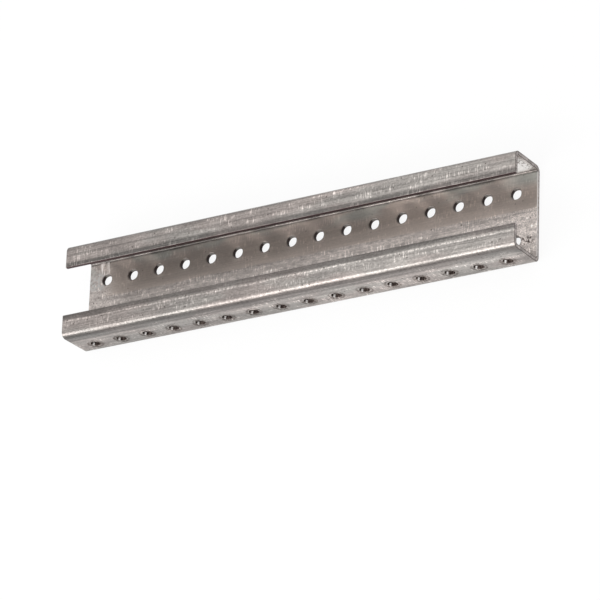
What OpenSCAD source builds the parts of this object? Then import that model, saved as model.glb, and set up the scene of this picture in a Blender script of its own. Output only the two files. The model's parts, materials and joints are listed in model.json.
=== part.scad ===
// Perforated C-rail, folded from one strip of galvanised sheet.
// It lies on the back of its web with the slot upwards: X runs along the rail,
// Y across it and Z up. Sizes are in millimetres.

/* [Section] */
// Length of the piece, cut square from long stock
rail_l = 205; // [60:1:1000]
// Width over the two flanges
rail_w = 39.5; // [32:0.5:60]
// Height from the back of the web to the face of the lips
rail_h = 19; // [14:0.5:30]
// Thickness of the sheet
sheet_t = 1.8; // [1:0.1:2.5]
// Inside radius of the four bends
bend_r = 0.7; // [0.3:0.1:1.5]
// Width of the slot between the lips
slot_w = 20.5; // [12:0.5:30]
// Rounding on the free edges of the lips
edge_r = 0.4; // [0.1:0.1:0.5]

/* [Perforation] */
// Diameter of every hole
hole_d = 4.5; // [3:0.1:6]
// Step from one hole to the next along the rail
hole_pitch = 12.5; // [8:0.5:25]
// From the left end to the centre of the first hole
first_hole = 8.4; // [5:0.1:12]
// Distance between the two rows in the web
row_gap = 19.5; // [10:0.5:27]
// Height of the row in each flange above the back of the web
flange_row_h = 7.2; // [6:0.1:12]
// Rounding of a hole's outer edge, where the punch draws the sheet in
punch_r = 0.2; // [0.1:0.05:0.6]

/* [Hidden] */
$fn = 48;
bend_out = bend_r + sheet_t;   // outside radius of the bends
over = 1;                      // how far a cutter runs past the metal
// The rows stop where a hole would come nearer to the end than one thickness
last_room = rail_l - first_hole - hole_d / 2 - sheet_t;
hole_steps = floor(last_room / hole_pitch);
hole_x = [for (i = [0:hole_steps]) first_hole - rail_l / 2 + i * hole_pitch];

// Rectangle with round corners, standing on the X axis
module round_rect(w, h, r) {
    translate([-w / 2, 0]) {
        translate([r, 0]) square([w - 2 * r, h]);
        translate([0, r]) square([w, h - 2 * r]);
        for (x = [r, w - r], y = [r, h - r]) translate([x, y]) circle(r);
    }
}

// Round nose on the free edge of the right-hand lip
module lip_nose() {
    for (y = [rail_h - edge_r, rail_h - sheet_t + edge_r])
        translate([slot_w / 2 + edge_r, y]) circle(edge_r);
    translate([slot_w / 2, rail_h - sheet_t + edge_r])
        square([edge_r + over / 2, sheet_t - 2 * edge_r]);
}

// Folded strip: web below, a flange on each side, lips turned in at the top
module rail_section() {
    difference() {
        round_rect(rail_w, rail_h, bend_out);
        translate([0, sheet_t])
            round_rect(rail_w - 2 * sheet_t, rail_h - 2 * sheet_t, bend_r);
        translate([-slot_w / 2 - edge_r, rail_h - sheet_t - over])
            square([slot_w + 2 * edge_r, sheet_t + 2 * over]);
    }
    for (side = [0, 1]) mirror([side, 0]) lip_nose();
}

// What the punch takes away, going up from the sheet's outer face at height 0:
// a straight bore, and a quarter-round mouth that blends into the face
module punched_hole() {
    translate([0, 0, -over]) cylinder(d = hole_d, h = sheet_t + 2 * over);
    rotate_extrude()
        difference() {
            translate([0, -over]) square([hole_d / 2 + punch_r, punch_r + over]);
            translate([hole_d / 2 + punch_r, punch_r]) circle(punch_r);
        }
}

// Two rows of holes in the web
module web_holes() {
    for (x = hole_x, y = [-row_gap / 2, row_gap / 2])
        translate([x, y, 0]) punched_hole();
}

// One row of holes in each flange, in line with those of the web
module flange_holes() {
    for (x = hole_x, side = [0, 1])
        mirror([0, side, 0])
            translate([x, -rail_w / 2, flange_row_h]) rotate([-90, 0, 0]) punched_hole();
}

module c_rail() {
    color([0.62, 0.60, 0.58])
        difference() {
            rotate([90, 0, 90]) linear_extrude(rail_l, center = true) rail_section();
            web_holes();
            flange_holes();
        }
}

c_rail();
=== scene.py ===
# Perforated C-rail in galvanised sheet, lying on its web with the slot upwards.
# The piece is worked out as a flat punched strip and then folded, so its finish can follow the strip.
import json
from math import cos, pi, radians, sin
import bmesh
import bpy
import numpy as np
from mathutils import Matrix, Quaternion, Vector


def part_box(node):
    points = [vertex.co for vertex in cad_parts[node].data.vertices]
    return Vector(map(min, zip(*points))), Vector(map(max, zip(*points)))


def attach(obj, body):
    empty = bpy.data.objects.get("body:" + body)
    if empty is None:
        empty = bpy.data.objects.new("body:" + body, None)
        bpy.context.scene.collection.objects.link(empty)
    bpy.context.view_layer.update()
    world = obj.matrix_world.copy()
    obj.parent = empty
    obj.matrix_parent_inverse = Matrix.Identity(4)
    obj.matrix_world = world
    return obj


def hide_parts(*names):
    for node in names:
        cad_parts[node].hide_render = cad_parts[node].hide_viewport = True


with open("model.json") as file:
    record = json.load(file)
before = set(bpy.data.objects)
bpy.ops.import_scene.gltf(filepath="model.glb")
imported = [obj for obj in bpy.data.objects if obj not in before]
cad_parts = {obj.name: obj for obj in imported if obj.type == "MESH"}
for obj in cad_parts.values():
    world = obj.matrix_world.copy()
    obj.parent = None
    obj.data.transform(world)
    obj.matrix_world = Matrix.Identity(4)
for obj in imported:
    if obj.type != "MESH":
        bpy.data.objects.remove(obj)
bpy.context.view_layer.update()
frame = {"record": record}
scene = bpy.context.scene
mm = 1000               # millimetres in a metre
print("frame loaded")


def mountNamed(name):
    return next(m for m in frame["record"]["mounts"] if m["name"] == name)


camera = {
    "aim": (-0.0012, -0.0163, 0.0025), "distance": 1.4584,
    "azimuth": 53.21, "elevation": 51.32, "roll": -57.58,
    "lens": 225.9, "clipEnd": 20,
}


def addCamera():
    data = bpy.data.cameras.new("studioCamera")
    data.lens = camera["lens"]
    data.clip_end = camera["clipEnd"]
    eye = bpy.data.objects.new("studioCamera", data)
    scene.collection.objects.link(eye)
    turn, rise = radians(camera["azimuth"]), radians(camera["elevation"])
    back = Vector((sin(turn) * cos(rise), -cos(turn) * cos(rise), sin(rise)))
    eye.location = Vector(camera["aim"]) + back * camera["distance"]
    eye.rotation_mode = "QUATERNION"
    roll = Quaternion((0, 0, 1), radians(camera["roll"]))
    eye.rotation_quaternion = (-back).to_track_quat("-Z", "Y") @ roll
    scene.camera = eye


addCamera()
print("camera placed")

# The rail as a folded strip, in metres
rail = {
    "sheet": 0.0018, "bendOut": 0.0025, "slot": 0.0205,
    "lipRound": 0.0004,      # rounding of the lips' free edges
    "cutRound": 0.00015,     # rounding of the sawn ends
    "rimOut": 0.0002,        # rounding of the holes' rims on the outer faces
    "rimIn": 0.00027,        # and on the inner faces
    "dish": 0.00006, "dishWidth": 0.0009,   # dish that the punch pressed in round each hole
    "taper": 0.00018,        # a hole's radius is this much less on the outer face
    "wave": 0.00004,         # unevenness of the rolled faces
    "calm": 0.002,           # it dies out over this distance from an edge
    "noHole": 1.0,           # distance to a hole that is given where none is near
    "beyond": 0.00012,       # one more row of points, this far past a rounding
    "ringGaps": (0.0008, 0.0012),   # rings of points round a hole
    "cellParts": (0.45, 1),         # and steps from the last ring to its cell's outline
    # steps along a hole's cell and across the bends, lips, flanges and the web's plain stretches
    "cellSteps": 10, "bendSteps": 9, "lipSteps": 6, "flangeSteps": 4, "webSideSteps": 2, "webMiddleSteps": 5,
    "sawnRoundSteps": 3, "roundSteps": 4, "wallSteps": 3,
    "joinWithin": 2e-6, "tiny": 1e-9,       # joining distance of the grids, and room for rounding errors
}


def railSizes():
    low, high = (np.array(c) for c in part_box("c_rail"))
    web, middle = mountNamed("web_end_holes"), mountNamed("web_middle_holes")
    flange = mountNamed("front_flange_end_holes")
    pitch = middle["dims"]["spacing_x_mm"] / mm
    span = web["dims"]["spacing_x_mm"] / mm
    firstHole = web["pos_m"][0] - span / 2
    size = dict(rail)
    size["length"], size["width"], size["height"] = (high - low).tolist()
    size["pitch"], size["holeR"] = pitch, web["dims"]["hole_r_mm"] / mm
    size["rowGap"] = web["dims"]["spacing_y_mm"] / mm
    size["flangeRow"] = flange["pos_m"][2]
    size["holeX"] = firstHole + pitch * np.arange(round(span / pitch) + 1)
    return size


size = railSizes()
halfL, sheet, bendOut = size["length"] / 2, size["sheet"], size["bendOut"]
lipFlat = (size["width"] - size["slot"]) / 2 - bendOut
flangeFlat = size["height"] - 2 * bendOut
webFlat = size["width"] - 2 * bendOut
arc = bendOut * pi / 2
# parts of the flat strip from the front lip's free edge to the rear lip's
stripParts = [lipFlat, arc, flangeFlat, arc, webFlat, arc, flangeFlat, arc, lipFlat]
stripStart = np.concatenate([[0], np.cumsum(stripParts)])
stripWidth = stripStart[-1]


def fold(s, n):
    # A flat part: its start, plus the distance along its heading, plus the depth n to the left of it.
    # A bend: its centre lies one outside radius to the left, and the heading turns a quarter round it.
    place = np.zeros(np.shape(s), complex)
    start, heading = complex(-size["slot"] / 2, size["height"]), complex(-1, 0)
    for k, run in enumerate(stripParts):
        here = s >= stripStart[k] - size["tiny"]
        past = s - stripStart[k]
        if k % 2 == 0:
            place = np.where(here, start + heading * (past + 1j * n), place)
            start = start + heading * run
        else:
            centre = start + 1j * heading * bendOut
            turned = centre - 1j * heading * np.exp(1j * past / bendOut) * (bendOut - n)
            place = np.where(here, turned, place)
            start, heading = centre + heading * bendOut, heading * 1j
    return place.real, place.imag


def rounding(distance, radius):
    # Quarter circle: the face drops by the radius at the edge and is flat from one radius inwards
    short = np.clip(radius - distance, 0, radius)
    return radius - np.sqrt(radius ** 2 - short ** 2)


def unevenness(x, s):
    # Slow and quick ripples, as products of sines in radians to the metre, never above the true face
    slow = np.sin(x * 95 + 3 * np.sin(s * 60)) * np.sin(s * 210 + 1.3)
    quick = np.sin(x * 330 + s * 140) * np.sin(s * 470 - x * 60 + 0.7)
    return size["wave"] * (0.5 + 0.3 * slow + 0.2 * quick)


def faceDepth(x, s, holeGap, outside):
    # Depth of a face below the sheet's true surface: the largest rounding near, plus dip and ripples
    fromEnd, fromLip = halfL - np.abs(x), np.minimum(s, stripWidth - s)
    edges = np.maximum(rounding(fromEnd, size["cutRound"]), rounding(fromLip, size["lipRound"]))
    hole = rounding(holeGap, size["rimOut"] if outside else size["rimIn"])
    dip = size["dish"] * np.exp(-(holeGap / size["dishWidth"]) ** 2)
    # ripples die out at the edges, so both faces meet their walls squarely
    nearEdge = np.minimum(np.minimum(fromEnd, fromLip), holeGap)
    ripple = unevenness(x, s) * np.clip(nearEdge / size["calm"], 0, 1)
    if outside:
        return np.maximum(edges, hole + dip) + ripple
    return np.maximum(edges, hole) + ripple - dip


patches = []


def addPatch(x, s, n, gap, closed=False):
    # One grid of the surface; rows run along the first axis, and a closed one joins up along the second
    x, s, n, gap = (np.array(v, float) for v in np.broadcast_arrays(x, s, n, gap))
    y, z = fold(s, n)
    patches.append((np.stack([x, y, z], -1), np.stack([x, s, n, gap], -1), closed))


def bothDepths(x, s):
    # Depths of the outer and inner face where no hole is near
    return faceDepth(x, s, size["noHole"], True), sheet - faceDepth(x, s, size["noHole"], False)


def addStrip(stations, s):
    x, s = np.meshgrid(stations, s, indexing="ij")
    for depth in bothDepths(x, s):
        addPatch(x, s, depth, size["noHole"])


def addWall(outer, inner, gap, closed=False):
    # Cut face across the thickness, between the edges of the two faces as (x, s, depth)
    part = np.linspace(0, 1, size["wallSteps"] + 1)[:, None]
    x, s, n = (np.asarray(a) * (1 - part) + np.asarray(b) * part for a, b in zip(outer, inner))
    addPatch(x, s, n, gap, closed)


def addEdgeWall(x, s):
    # Wall of a sawn end or of a lip's free edge
    x, s = (np.array(v, float) for v in np.broadcast_arrays(x, s))
    outer, inner = bothDepths(x, s)
    addWall((x, s, outer), (x, s, inner), size["noHole"])


def roundSteps(radius, steps):
    # Distances from an edge that space a quarter circle evenly, with one more just beyond it
    angle = np.linspace(0, pi / 2, steps + 1)
    return np.append(radius * (1 - np.cos(angle)), radius + size["beyond"])


def evenSteps(low, high, steps):
    return np.linspace(low, high, steps + 1)


def railStations():
    # Places along the rail: rounded ends, then each hole's cell in equal steps
    steps, pitch = size["cellSteps"], size["pitch"]
    cells = size["holeX"][0] - pitch / 2 + pitch / steps * np.arange(len(size["holeX"]) * steps + 1)
    fromEnd = roundSteps(size["cutRound"], size["sawnRoundSteps"])
    left = np.append(-halfL + fromEnd, (-halfL + fromEnd[-1] + cells[0]) / 2)
    right = np.append((cells[-1] + halfL - fromEnd[-1]) / 2, (halfL - fromEnd)[::-1])
    return left, cells, right


def holeRings(xc, sc, half, radius):
    # Circles near a hole's edge, then a blend out to its cell's rectangle
    t = np.linspace(-1, 1, size["cellSteps"] + 1)[:-1]
    one = np.ones(size["cellSteps"])
    # the rectangle's outline, counter-clockwise from its lower left corner
    edgeX = np.concatenate([t, one, -t, -one]) * size["pitch"] / 2
    edgeS = np.concatenate([-one, t, one, -t]) * half
    around = np.arctan2(edgeS / half, edgeX * 2 / size["pitch"])
    gaps = np.append(roundSteps(max(size["rimOut"], size["rimIn"]), size["roundSteps"]), size["ringGaps"])
    rings = [(xc + (radius + g) * np.cos(around), sc + (radius + g) * np.sin(around), np.full(len(around), g))
             for g in gaps]
    lastX, lastS, _ = rings[-1]
    for part in size["cellParts"]:
        x = lastX + (xc + edgeX - lastX) * part
        s = lastS + (sc + edgeS - lastS) * part
        rings.append((x, s, np.hypot(x - xc, s - sc) - radius))
    return (np.array(v) for v in zip(*rings))


def addCell(xc, sc, half):
    # Both faces round a hole, and the wall between their edges
    edges = []
    for outside in (True, False):
        x, s, gap = holeRings(xc, sc, half, size["holeR"] - (size["taper"] if outside else 0))
        depth = faceDepth(x, s, gap, outside)
        depth = depth if outside else sheet - depth
        addPatch(x, s, depth, gap, closed=True)
        edges.append((x[0], s[0], depth[0]))
    addWall(*edges, 0, closed=True)


def buildRail():
    # From the front lip to the rear lip: plain strips, and rows of holes with plain margins
    left, cells, right = railStations()
    stations = np.concatenate([left, cells, right])
    lipEdge, frontLipBend, front, frontWebBend, web, rearWebBend, rear, rearLipBend, rearLip, _ = stripStart
    bends = size["bendSteps"]
    bands = []                      # all places across the strip, for the end walls

    def plain(s):
        addStrip(stations, s)
        bands.append(s)

    def row(sc, half):
        for xc in size["holeX"]:
            addCell(xc, sc, half)
        s = evenSteps(sc - half, sc + half, size["cellSteps"])
        addStrip(np.append(left, cells[0]), s)
        addStrip(np.insert(right, 0, cells[-1]), s)
        bands.append(s)

    edge = roundSteps(size["lipRound"], size["roundSteps"])
    lip = np.concatenate([edge, evenSteps(edge[-1], lipFlat, size["lipSteps"])[1:]])
    flangeHalf, webHalf = size["flangeRow"] - bendOut, size["pitch"] / 2
    middle = (web + rearWebBend) / 2
    frontRow, rearRow = middle - size["rowGap"] / 2, middle + size["rowGap"] / 2
    plain(lipEdge + lip)
    plain(evenSteps(frontLipBend, front, bends))
    plain(evenSteps(front, frontWebBend - 2 * flangeHalf, size["flangeSteps"]))
    row(frontWebBend - flangeHalf, flangeHalf)
    plain(evenSteps(frontWebBend, web, bends))
    plain(evenSteps(web, frontRow - webHalf, size["webSideSteps"]))
    row(frontRow, webHalf)
    plain(evenSteps(frontRow + webHalf, rearRow - webHalf, size["webMiddleSteps"]))
    row(rearRow, webHalf)
    plain(evenSteps(rearRow + webHalf, rearWebBend, size["webSideSteps"]))
    plain(evenSteps(rearWebBend, rear, bends))
    row(rear + flangeHalf, flangeHalf)
    plain(evenSteps(rear + 2 * flangeHalf, rearLipBend, size["flangeSteps"]))
    plain(evenSteps(rearLipBend, rearLip, bends))
    plain(stripWidth - lip[::-1])

    for s in bands:
        addEdgeWall(-halfL, s)
        addEdgeWall(halfL, s)
    addEdgeWall(stations, 0.0)
    addEdgeWall(stations, stripWidth)


def gridFaces(rows, cols, closed, first):
    # Quads between neighbouring grid points, as four shifted copies of the index grid
    index = np.arange(rows * cols).reshape(rows, cols) + first
    if closed:
        index = np.hstack([index, index[:, :1]])
    corners = (index[:-1, :-1], index[1:, :-1], index[1:, 1:], index[:-1, 1:])
    return np.stack([c.ravel() for c in corners], -1)


def patchFaces():
    faces, first = [], 0
    for points, _, closed in patches:
        rows, cols = points.shape[:2]
        faces.append(gridFaces(rows, cols, closed, first))
        first += rows * cols
    return np.concatenate(faces)


def joinSkin(mesh):
    # Join the grids into one closed skin
    work = bmesh.new()
    work.from_mesh(mesh)
    bmesh.ops.remove_doubles(work, verts=work.verts, dist=size["joinWithin"])
    bmesh.ops.recalc_face_normals(work, faces=work.faces)
    openEdges = sum(1 for e in work.edges if len(e.link_faces) != 2)
    print("rail skin:", len(work.faces), "faces,", openEdges, "edges not closed")
    work.to_mesh(mesh)
    work.free()
    mesh.polygons.foreach_set("use_smooth", np.ones(len(mesh.polygons), bool))


def makeRail():
    buildRail()
    points = np.concatenate([p.reshape(-1, 3) for p, _, _ in patches])
    flat = np.concatenate([f.reshape(-1, 4) for _, f, _ in patches]).astype(np.float32)
    mesh = bpy.data.meshes.new("railSheet")
    mesh.from_pydata(points, [], patchFaces())
    # the finish needs each point's place on the flat strip and its distance from a hole's edge
    layer = mesh.attributes.new("flatStrip", "FLOAT_VECTOR", "POINT")
    layer.data.foreach_set("vector", flat[:, :3].ravel())
    layer = mesh.attributes.new("holeGap", "FLOAT", "POINT")
    layer.data.foreach_set("value", flat[:, 3].copy())
    joinSkin(mesh)
    piece = bpy.data.objects.new("railSheet", mesh)
    scene.collection.objects.link(piece)
    return piece


railSheet = makeRail()
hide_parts("c_rail")
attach(railSheet, "root")
print("rail made")

# Finish of the sheet, set out in mm on the flat strip: along it from the rail's middle, and across it
# from the front lip's edge
finish = {
    "metallic": 0.7,
    "roughness": {"face": 0.36, "swing": 0.25, "wall": 0.55, "glint": 0.25},
    "bump": {"strength": 0.7, "height": 0.00004, "ridges": 0.6},    # height in m, and the ridges' share
    "zinc": (0.36, 0.318, 0.298, 1),
    "worn": (0.35, 0.326, 0.306, 1),        # a little cooler, in patches
    "inside": (0.475, 0.412, 0.372, 1),     # thin brownish film on the channel's inner faces, painted lighter than the outer zinc to stand in for light inside the channel
    "grey": (0.455, 0.41, 0.385, 1),        # where the film wore off, painted lighter too
    "cool": (0.42, 0.425, 0.4, 1),          # cooler patches in it
    # dark colour of the pits and the rings round the holes, and of the painted shade along the rims inside
    "grime": (0.06, 0.045, 0.04, 1),
    "burnished": (0.95, 0.93, 0.91, 1),     # painted glint on a punched wall, and the sawn web's burnished upper edge
    "sheared": (0.25, 0.23, 0.21, 1),       # part of a wall that the punch sheared, as painted light on the web holes' walls
    "torn": (0.035, 0.022, 0.019, 1),       # torn part of a wall, also painted shade on the left of the web holes' walls
    "crumbs": (0.16, 0.125, 0.11, 1),       # rough part of a cut wall
    "slitEdge": (0.062, 0.034, 0.036, 1),   # rear lip's free edge
    "sawn": (0.34, 0.305, 0.29, 1),
    # fades from the first place to the second, from 0 to 1 or between the two strengths that follow
    "fades": {
        "smoothFront": (48.3, 49.1), "smoothRear": (66.0, 64.0),    # zone under the rear lip, kept smooth
        "smoothLeft": (-99.0, -88.0), "smoothRight": (84.0, 100.0, 0.0, 0.2),
        "brown": (66.0, 58.0, 0.35, 1.0), "warm": (0.0, 85.0, 1.0, 1.09),
        "coolFront": (57.0, 61.0), "coolRear": (64.0, 63.4), "coolRight": (82.0, 98.0),
        "rearBend": (62.8, 63.8), "spangle": (60.0, 100.0, 0.3, 1.5),
        "smearsByBend": (1.8, 3.2, 0.15, 1.0), "smearsByEdge": (2.6, 3.6, 0.2, 1.0),
        "brokenLine": (60.0, -40.0, 0.2, 0.6), "lengthways": (-100.0, 95.0, 0.86, 1.16),
        "dullRight": (97.0, 102.0, 0.0, 0.3), "dullFront": (10.0, 13.0), "dullRear": (25.0, 23.0),
        "pit": (0.13, 0.05), "grimeRound": (3.0, 0.5), "rim": (0.55, 0.15), "mark": (1.2, 0.15),
        "tornSide": (-0.8, -1.55), "roughSide": (0.3, 1.2), "glintDepth": (1.4, 1.2),
        "sawnOutline": (0.35, 0.75), "sawnUpper": (1.0, 1.35), "sawnEnd": (0.05, 0.02),
        "slitColour": (0.3, 0.15), "slitWall": (0.18, 0.06), "cutWall": (0.88, 0.7),
        "mattGrime": (0.0, 0.4),
    },
    # narrow lines: their place, the distance where they end and the one up to which they are full
    "lines": {
        "front": (2.9, 0.5, 0.2), "bend": (8.6, 1.0, 0.5),      # rubbed along the front lip and its bend
        "ring": (0.9, 0.75, 0.25), "glint": (-1.74, 0.3, 0.14),     # from a hole's edge, and from its middle
    },
    "smearlessBend": 9.6,       # middle of the front bend, which has few smears
    # noise patterns: features to the mm along and across the strip, detail, seed
    "patterns": {
        "rolling": (0.02, 2.6, 3, 1), "broad": (0.012, 0.55, 2, 2),
        "cloud": (0.08, 0.22, 3, 3), "grain": (0.85, 1.4, 2, 4),
        "coarse": (0.35, 0.6, 3, 12), "spangle": (1.9, 1.9, 1, 16), "sawn": (1.3, 1.3, 2, 15),
        "wander": (0.06, 0.0, 3, 5), "fuzz": (1.1, 0.7, 2, 9),
        "patch": (0.09, 0.3, 2, 6), "smear": (1.5, 0.3, 2, 7),
        "dash": (0.9, 0.5, 2, 11), "breaks": (0.9, 0.9, 2, 21),
        "glow": (0.1, 0.0, 2, 19), "wear": (0.03, 0.12, 2, 13), "cool": (0.05, 0.1, 2, 18),
        "speckle": (1.3, 1.0, 2, 14), "ring": (0.3, 0.3, 2, 20), "crumb": (2.2, 2.2, 2, 17),
        "shine": (0.05, 1.2, 3, 8), "relief": (1.2, 2.4, 2, 10), "ridges": (0.03, 2.6, 3, 1),
    },
    # how far some of them swing about a factor of 1, and the fades that turn others into spots
    "swings": {"rolling": 1.3, "broad": 1.0, "cloud": 0.9, "grain": 1.2, "coarse": 1.2, "sawn": 2.2},
    "spots": {
        "patch": (0.45, 0.62), "smear": (0.48, 0.72), "dash": (0.4, 0.6), "glow": (0.42, 0.6, 0.5, 1.1),
        "wear": (0.4, 0.6), "cool": (0.42, 0.58), "speckle": (0.4, 0.58),
        "ring": (0.36, 0.58, 0.45, 1.0), "crumb": (0.4, 0.62),
    },
    # factor and offset that turn a pattern or mask into a shift in mm, or into a strength
    "weights": {
        "wander": (1.4, -0.7), "fuzz": (0.4, -0.2), "smears": (1.3, 0.92),
        "dashes": (0.75, 1.0), "breaks": (2.0, -1.05), "pits": (-0.4, 0.75),
        "ring": (0.5, 0.3), "grimeRound": (0.35, 0.12), "sawnOutline": (0.4, 0.45),
    },
    "shares": {"roughCalm": 0.3, "smoothCalm": 0.7, "cool": 0.9, "rim": 0.4, "ring": 0.65, "slitWall": 0.9,
               "sawnUpper": 0.55},
    "cloudShift": 3.0,                  # shift of the brown film's edge by the clouds, in mm
    "pitCells": 0.3, "pitless": 0.88,   # cells to the mm, and the share of them that has no pit
    # scuffs on the inner faces, and a painted pool of light: middle, reach, features to the mm, the noise
    # value they start at
    "marks": [
        {"along": 98.4, "across": 36.0, "reach": (3.4, 2.3), "grain": (0.75, 0.8), "cover": 0.47,
         "colour": (0.07, 0.05, 0.045, 1)},
        {"along": -95.3, "across": 60.8, "reach": (3.0, 3.2), "grain": (1.5, 0.15), "cover": 0.46,
         "colour": (0.8, 0.77, 0.75, 1)},
        {"along": -99.2, "across": 55.5, "reach": (4.0, 4.0), "grain": (0.9, 0.9), "cover": 0.45,
         "colour": (0.43, 0.42, 0.41, 1)},
        {"along": -97.5, "across": 46.5, "reach": (6.5, 6.5), "grain": (1.4, 1.4), "cover": 0.56,
         "colour": (0.09, 0.07, 0.07, 1)},
        # painted light: a white pool of light on the rear flange's inner face by the right end
        {"along": 94.0, "across": 74.3, "reach": (9.0, 7.3), "grain": (1.3, 1.3), "cover": 0.2,
         "colour": (0.97, 0.95, 0.93, 1), "powdery": True},
        {"along": 103.5, "across": 74.3, "reach": (5.5, 7.3), "grain": (1.1, 1.1), "cover": 0.5,
         "colour": (0.22, 0.19, 0.18, 1)},
    ],
    "markEdge": 0.16,
    # tones across the faces: place and tone
    # the dip from 9.5 to 11.4 mm, on the flange side of the front bend, is a painted dark reflection
    "outsideTones": [
        (0, 0.47), (1.8, 0.50), (2.4, 0.86), (2.75, 1.15), (3.05, 1.15), (3.4, 0.93), (7.0, 1.0),
        (8.8, 1.02), (9.5, 0.46), (10.8, 0.43), (11.4, 0.60), (13.9, 0.64), (14.8, 1.09),
        (18.4, 1.09), (20.5, 0.86), (24.9, 0.86), (30, 0.95), (62, 0.95), (70, 0.9),
        (81.4, 0.59), (83.4, 0.64), (84.6, 0.91), (86.9, 0.92), (87.3, 0.76), (87.7, 0.94),
        (88.8, 0.97), (89.4, 1.02), (90.0, 0.93), (90.6, 0.47), (92.2, 0.44),
    ],
    # the dip to 0.5 from 63.4 to 66.5 mm is painted shade inside the rear bend
    "insideTones": [
        (0, 0.8), (10, 0.8), (28, 0.95), (47.8, 1.13), (48.8, 1.04), (58.4, 1.02), (60.4, 0.96),
        (62.6, 0.95), (63.4, 0.5), (66.5, 0.5), (67.5, 0.9), (70, 1.0), (80, 1.0), (92, 0.7),
    ],
}


def addNode(tree, kind, *values, out=0, **settings):
    # One node; its inputs are sockets or plain values in order, and None leaves one alone
    node = tree.nodes.new("ShaderNode" + kind)
    for name, value in settings.items():
        setattr(node, name, value)
    for slot, value in zip(node.inputs, values):
        if isinstance(value, bpy.types.NodeSocket):
            tree.links.new(value, slot)
        elif value is not None:
            slot.default_value = value
    return node.outputs[out]


sheetMaterial = bpy.data.materials.new("galvanisedSheet")
sheetMaterial.use_nodes = True
sheetTree = sheetMaterial.node_tree


def calc(kind, a, b=None, c=None):
    return addNode(sheetTree, "Math", a, b, c, operation=kind)


def times(a, b):
    return calc("MULTIPLY", a, b)


def minus(a, b):
    return calc("SUBTRACT", a, b)


def larger(a, b):
    return calc("MAXIMUM", a, b)


def apart(a, b):
    return calc("ABSOLUTE", minus(a, b))


def scaled(value, factor, offset):
    return calc("MULTIPLY_ADD", value, factor, offset)


def without(mask):
    return minus(1.0, mask)


def mix(mask, a, b, blend="MIX"):
    # The node takes its colours after five inputs for other kinds of value
    return addNode(sheetTree, "Mix", mask, None, None, None, None, None, a, b, out=2,
                   data_type="RGBA", blend_type=blend)


def tinted(colour, factor):
    return mix(1.0, colour, factor, "MULTIPLY")


def smoothStep(value, low, high, start=0.0, end=1.0):
    return addNode(sheetTree, "MapRange", value, low, high, start, end, interpolation_type="SMOOTHSTEP")


def fade(value, name):
    return smoothStep(value, *finish["fades"][name])


def line(value, name):
    place, far, close = finish["lines"][name]
    return smoothStep(apart(value, place), far, close)


def weighed(value, name):
    return scaled(value, *finish["weights"][name])


def share(mask, name):
    return times(mask, finish["shares"][name])


def noise(stretchX, stretchS, detail, seed):
    # Noise on the flat strip, with so many features to the mm along and across it; seeds lie far apart
    spot = addNode(sheetTree, "Mapping", strip, (seed, seed * 1.7, 0), None, (stretchX, stretchS, 0.6))
    return addNode(sheetTree, "TexNoise", spot, None, 1.0, detail, 0.55, noise_dimensions="3D")


def pattern(name):
    return noise(*finish["patterns"][name])


def spots(name):
    return smoothStep(pattern(name), *finish["spots"][name])


def swing(name, amount):
    # A pattern as a factor that swings about 1
    return scaled(minus(pattern(name), 0.5), amount, 1.0)


def uneven(name):
    return swing(name, finish["swings"][name])


def tones(value, stops):
    # Tones up to 2, as a ramp over the strip's width that holds half of each
    ramp = sheetTree.nodes.new("ShaderNodeValToRGB")
    points = ramp.color_ramp.elements
    while len(points) < len(stops):
        points.new(0.5)
    for point, (place, tone) in zip(points, stops):
        point.position = place / flatWidth
        point.color = (tone / 2, tone / 2, tone / 2, 1)
    sheetTree.links.new(calc("DIVIDE", value, flatWidth), ramp.inputs[0])
    return times(ramp.outputs[0], 2.0)


# Sockets that the functions below share: places on the strip, depth from the outer face, distances
flatWidth = stripWidth * mm
strip = addNode(sheetTree, "Attribute", attribute_name="flatStrip", out=1)
strip = addNode(sheetTree, "VectorMath", strip, (mm, mm, mm), operation="MULTIPLY")
stripAxes = sheetTree.nodes.new("ShaderNodeSeparateXYZ")
sheetTree.links.new(strip, stripAxes.inputs[0])
along, across, depth = stripAxes.outputs
holeGap = times(addNode(sheetTree, "Attribute", attribute_name="holeGap", out=2), mm)
lipGap = calc("MINIMUM", across, minus(flatWidth, across))
fromCore = apart(depth, sheet * mm / 2)
inside = calc("GREATER_THAN", depth, sheet * mm / 2)
onFlange = calc("GREATER_THAN", apart(across, flatWidth / 2), webFlat * mm / 2)
# bands that run along the rail wander a little and have fuzzy edges
shift = calc("ADD", weighed(pattern("wander"), "wander"), weighed(pattern("fuzz"), "fuzz"))
wavering = calc("ADD", across, shift)
cloud = uneven("cloud")
smooth = times(fade(wavering, "smoothFront"), fade(wavering, "smoothRear"))
smooth = times(times(smooth, inside), fade(along, "smoothLeft"))


def smears():
    # Pale cross smears in patches, but few on the front lip's edge and on the bend below it
    patch = times(spots("patch"), fade(apart(across, finish["smearlessBend"]), "smearsByBend"))
    patch = times(patch, larger(fade(across, "smearsByEdge"), inside))
    return weighed(times(spots("smear"), patch), "smears")


def rubbedLines(texture):
    # The line on the front lip breaks up into dashes, and so does the bend's towards the left
    rubbed = times(line(wavering, "front"), without(inside))
    texture = times(texture, weighed(times(spots("dash"), rubbed), "dashes"))
    broken = times(line(across, "bend"), fade(along, "brokenLine"))
    broken = times(broken, weighed(pattern("breaks"), "breaks"))
    return times(texture, calc("ADD", broken, 1.0))


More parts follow.
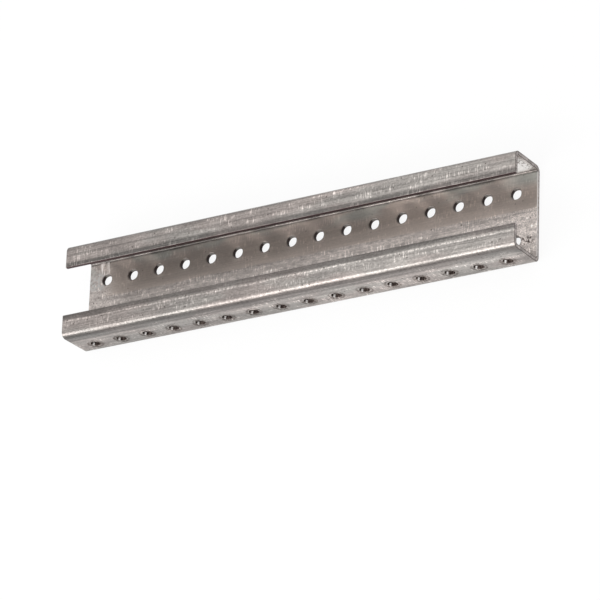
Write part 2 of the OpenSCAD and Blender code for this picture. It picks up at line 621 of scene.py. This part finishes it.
def rolledTexture():
    # Rolling lines, clouds, grain and smears, coarser inside and faint where the web stayed smooth
    texture = uneven("rolling")
    for factor in (uneven("broad"), cloud, uneven("grain"), smears()):
        texture = times(texture, factor)
    texture = rubbedLines(texture)
    coarse = times(uneven("coarse"), swing("spangle", fade(along, "spangle")))
    rough = times(inside, without(smooth))
    texture = mix(share(rough, "roughCalm"), texture, (1, 1, 1, 1))
    texture = mix(rough, texture, times(texture, coarse))
    texture = mix(share(smooth, "smoothCalm"), texture, (1, 1, 1, 1))
    # the rear bend's inside catches the light only here and there
    bend = times(inside, fade(wavering, "rearBend"))
    return mix(bend, texture, times(texture, spots("glow")))


def filmColour():
    # The channel's inner faces: a brown film where smooth, cooler in patches and at the right end; painted
    # light brightens them towards the right, and painted shade darkens the smooth zone's right end
    brown = times(smooth, fade(calc("ADD", wavering, times(cloud, finish["cloudShift"])), "brown"))
    film = mix(brown, finish["grey"], finish["inside"])
    cool = larger(spots("cool"), fade(along, "coolRight"))
    cool = times(times(fade(wavering, "coolFront"), fade(across, "coolRear")), cool)
    film = mix(share(cool, "cool"), film, finish["cool"])
    # painted light, brighter towards the right
    film = tinted(film, fade(along, "warm"))
    # painted shade under the rear lip at the smooth zone's right end
    return tinted(film, without(times(smooth, fade(along, "smoothRight"))))


def bareColour():
    face = mix(inside, mix(spots("wear"), finish["zinc"], finish["worn"]), filmColour())
    bands = mix(inside, tones(wavering, finish["outsideTones"]), tones(wavering, finish["insideTones"]))
    # painted light: every face grows brighter towards the rail's right end
    for factor in (rolledTexture(), bands, fade(along, "lengthways")):
        face = tinted(face, factor)
    return face


def addMarks(face):
    # Spots with squarish outlines, as the fourth power of the distance; the painted pool of light isn't
    # metallic
    paintedLightSpot = 0.0
    for mark in finish["marks"]:
        away = 0.0
        for place, centre, reach in zip((along, across), (mark["along"], mark["across"]), mark["reach"]):
            off = calc("ABSOLUTE", calc("DIVIDE", minus(place, centre), reach))
            away = calc("ADD", away, calc("POWER", off, 4.0))
        spot = times(fade(away, "mark"), inside)
        grains = noise(*mark["grain"], 2, mark["along"])
        spot = times(spot, smoothStep(grains, mark["cover"], mark["cover"] + finish["markEdge"]))
        face = mix(spot, face, mark["colour"])
        if "powdery" in mark:
            paintedLightSpot = larger(paintedLightSpot, spot)
    return face, paintedLightSpot


def darkerEnd(face):
    # The front flange's outer face darkens at its right end
    darkening = times(fade(along, "dullRight"), times(fade(across, "dullFront"), fade(across, "dullRear")))
    return tinted(face, without(times(darkening, without(inside))))


def pits():
    # Small dark dots in a few cells of a cell pattern, fewer where the web stayed smooth
    cell = sheetTree.nodes.new("ShaderNodeTexVoronoi")
    cell.voronoi_dimensions = "2D"
    spot = addNode(sheetTree, "Mapping", strip, None, None, (finish["pitCells"],) * 3)
    sheetTree.links.new(spot, cell.inputs["Vector"])
    cell.inputs["Scale"].default_value = 1.0
    chance = addNode(sheetTree, "SeparateColor", cell.outputs["Color"])
    pit = times(fade(cell.outputs["Distance"], "pit"), calc("GREATER_THAN", chance, finish["pitless"]))
    return times(pit, weighed(smooth, "pits"))


def darkRings():
    # Speckled dark ring round each hole on the outer faces, and a fainter darkening about it
    speckle = spots("speckle")
    ring = times(line(holeGap, "ring"), weighed(speckle, "ring"))
    ring = larger(ring, times(fade(holeGap, "grimeRound"), weighed(speckle, "grimeRound")))
    return times(times(ring, spots("ring")), without(inside))


def wallColours():
    # Walls of the holes: in the web painted shade on their left and painted light next to it, crumbly on
    # their right; in the flanges crumbly, with a painted glint
    pitch = size["pitch"] * mm
    fromHole = calc("WRAP", minus(along, size["holeX"][0] * mm), pitch / 2, -pitch / 2)
    # painted shade on the left of each web hole's wall, painted light on the sheared metal next to it
    webWall = mix(fade(fromHole, "tornSide"), finish["sheared"], finish["torn"])
    webWall = mix(fade(fromHole, "roughSide"), webWall, finish["crumbs"])
    # painted highlight: a bright glint on the left of each flange hole's wall
    glint = times(line(fromHole, "glint"), fade(depth, "glintDepth"))
    flangeWall = mix(spots("crumb"), finish["torn"], finish["crumbs"])
    flangeWall = mix(glint, flangeWall, finish["burnished"])
    # the lips' free edges were slit, not punched
    slitEdge = mix(calc("GREATER_THAN", across, flatWidth / 2), finish["crumbs"], finish["slitEdge"])
    wall = mix(fade(lipGap, "slitColour"), mix(onFlange, webWall, flangeWall), slitEdge)
    return wall, times(glint, onFlange)


def sawnColour():
    # Sawn ends: mottled, dark along their outlines, paler along the web's upper edge
    sawn = tinted(finish["sawn"], uneven("sawn"))
    outline = times(fade(fromCore, "sawnOutline"), weighed(onFlange, "sawnOutline"))
    sawn = mix(outline, sawn, finish["torn"])
    upper = times(fade(depth, "sawnUpper"), without(onFlange))
    return mix(share(upper, "sawnUpper"), sawn, finish["burnished"])


def sheetRoughness(onWall, glint, ring):
    # The dark rings are matt, and the cut walls are rough but for their painted glint
    rough = finish["roughness"]
    face = scaled(pattern("shine"), rough["swing"], rough["face"] - rough["swing"] / 2)
    wall = times(onWall, scaled(glint, rough["glint"] - rough["wall"], rough["wall"]))
    return larger(face, larger(wall, fade(ring, "mattGrime")))


def finishSheet():
    face, paintedLightSpot = addMarks(bareColour())
    ring = darkRings()
    # painted shade: a soft dark line runs round the holes' rims inside the channel
    rim = share(times(fade(holeGap, "rim"), inside), "rim")
    dirtAndShade = larger(larger(pits(), share(ring, "ring")), rim)
    face = mix(dirtAndShade, darkerEnd(face), finish["grime"])
    wall, glint = wallColours()
    onWall = larger(fade(fromCore, "cutWall"), share(fade(lipGap, "slitWall"), "slitWall"))
    endGap = minus(halfL * mm, calc("ABSOLUTE", along))
    colour = mix(fade(endGap, "sawnEnd"), mix(onWall, face, wall), sawnColour())

    bump, metallic = finish["bump"], finish["metallic"]
    height = calc("ADD", pattern("relief"), times(pattern("ridges"), bump["ridges"]))
    shader = sheetTree.nodes["Principled BSDF"].inputs
    sheetTree.links.new(colour, shader["Base Color"])
    sheetTree.links.new(scaled(paintedLightSpot, -metallic, metallic), shader["Metallic"])
    sheetTree.links.new(sheetRoughness(onWall, glint, ring), shader["Roughness"])
    sheetTree.links.new(addNode(sheetTree, "Bump", bump["strength"], bump["height"], None, height),
                        shader["Normal"])


finishSheet()
railSheet.data.materials.append(sheetMaterial)
print("sheet finished")

# Light, backdrop and floor
studio = {
    "surround": 1.0,       # strength of the white world
    # share of plain white where the floor is seen or mirrored, the rest takes the shadow
    "floorGlow": 0.9, "floorGrey": 0.85, "floorHalf": 6,
    "bendLight": {"toward": (-0.49, -0.62, 0.61), "far": 0.9, "size": (0.9, 0.3), "watts": 4.7},
}


def addLamp(name, values):
    data = bpy.data.lights.new(name, "AREA")
    data.shape = "RECTANGLE"
    data.size, data.size_y = values["size"]
    data.energy = values["watts"]
    lamp = bpy.data.objects.new(name, data)
    scene.collection.objects.link(lamp)
    toward = Vector(values["toward"]).normalized()
    lamp.location = toward * values["far"]
    lamp.rotation_euler = toward.to_track_quat("Z", "Y").to_euler()


def addWorld():
    # Plain white all round, so the metal reflects the same background that the camera sees
    world = bpy.data.worlds.new("studioWorld")
    scene.world = world
    world.use_nodes = True
    back = world.node_tree.nodes["Background"]
    back.inputs["Color"].default_value = (1, 1, 1, 1)
    back.inputs["Strength"].default_value = studio["surround"]


def floorMaterial():
    mat = bpy.data.materials.new("paleFloor")
    mat.use_nodes = True
    tree = mat.node_tree
    tree.nodes.remove(tree.nodes["Principled BSDF"])
    path = tree.nodes.new("ShaderNodeLightPath").outputs
    seen = path["Is Camera Ray"]
    for kind in ("Is Transmission Ray", "Is Glossy Ray"):
        seen = addNode(tree, "Math", seen, path[kind], operation="MAXIMUM")
    bright = addNode(tree, "Math", seen, studio["floorGlow"], operation="MULTIPLY")
    matt = addNode(tree, "BsdfDiffuse", (studio["floorGrey"],) * 3 + (1,))
    glow = addNode(tree, "Emission", (1, 1, 1, 1), 1.0)
    surface = addNode(tree, "MixShader", bright, matt, glow)
    tree.links.new(surface, tree.nodes["Material Output"].inputs["Surface"])
    return mat


def addFloor():
    mesh = bpy.data.meshes.new("studioFloor")
    far = studio["floorHalf"]
    mesh.from_pydata([(-far, -far, 0), (far, -far, 0), (far, far, 0), (-far, far, 0)], [], [(0, 1, 2, 3)])
    floor = bpy.data.objects.new("studioFloor", mesh)
    scene.collection.objects.link(floor)
    mesh.materials.append(floorMaterial())


addWorld()
addFloor()
addLamp("bendLight", studio["bendLight"])
scene.view_settings.view_transform = "Standard"
print("light and floor made")
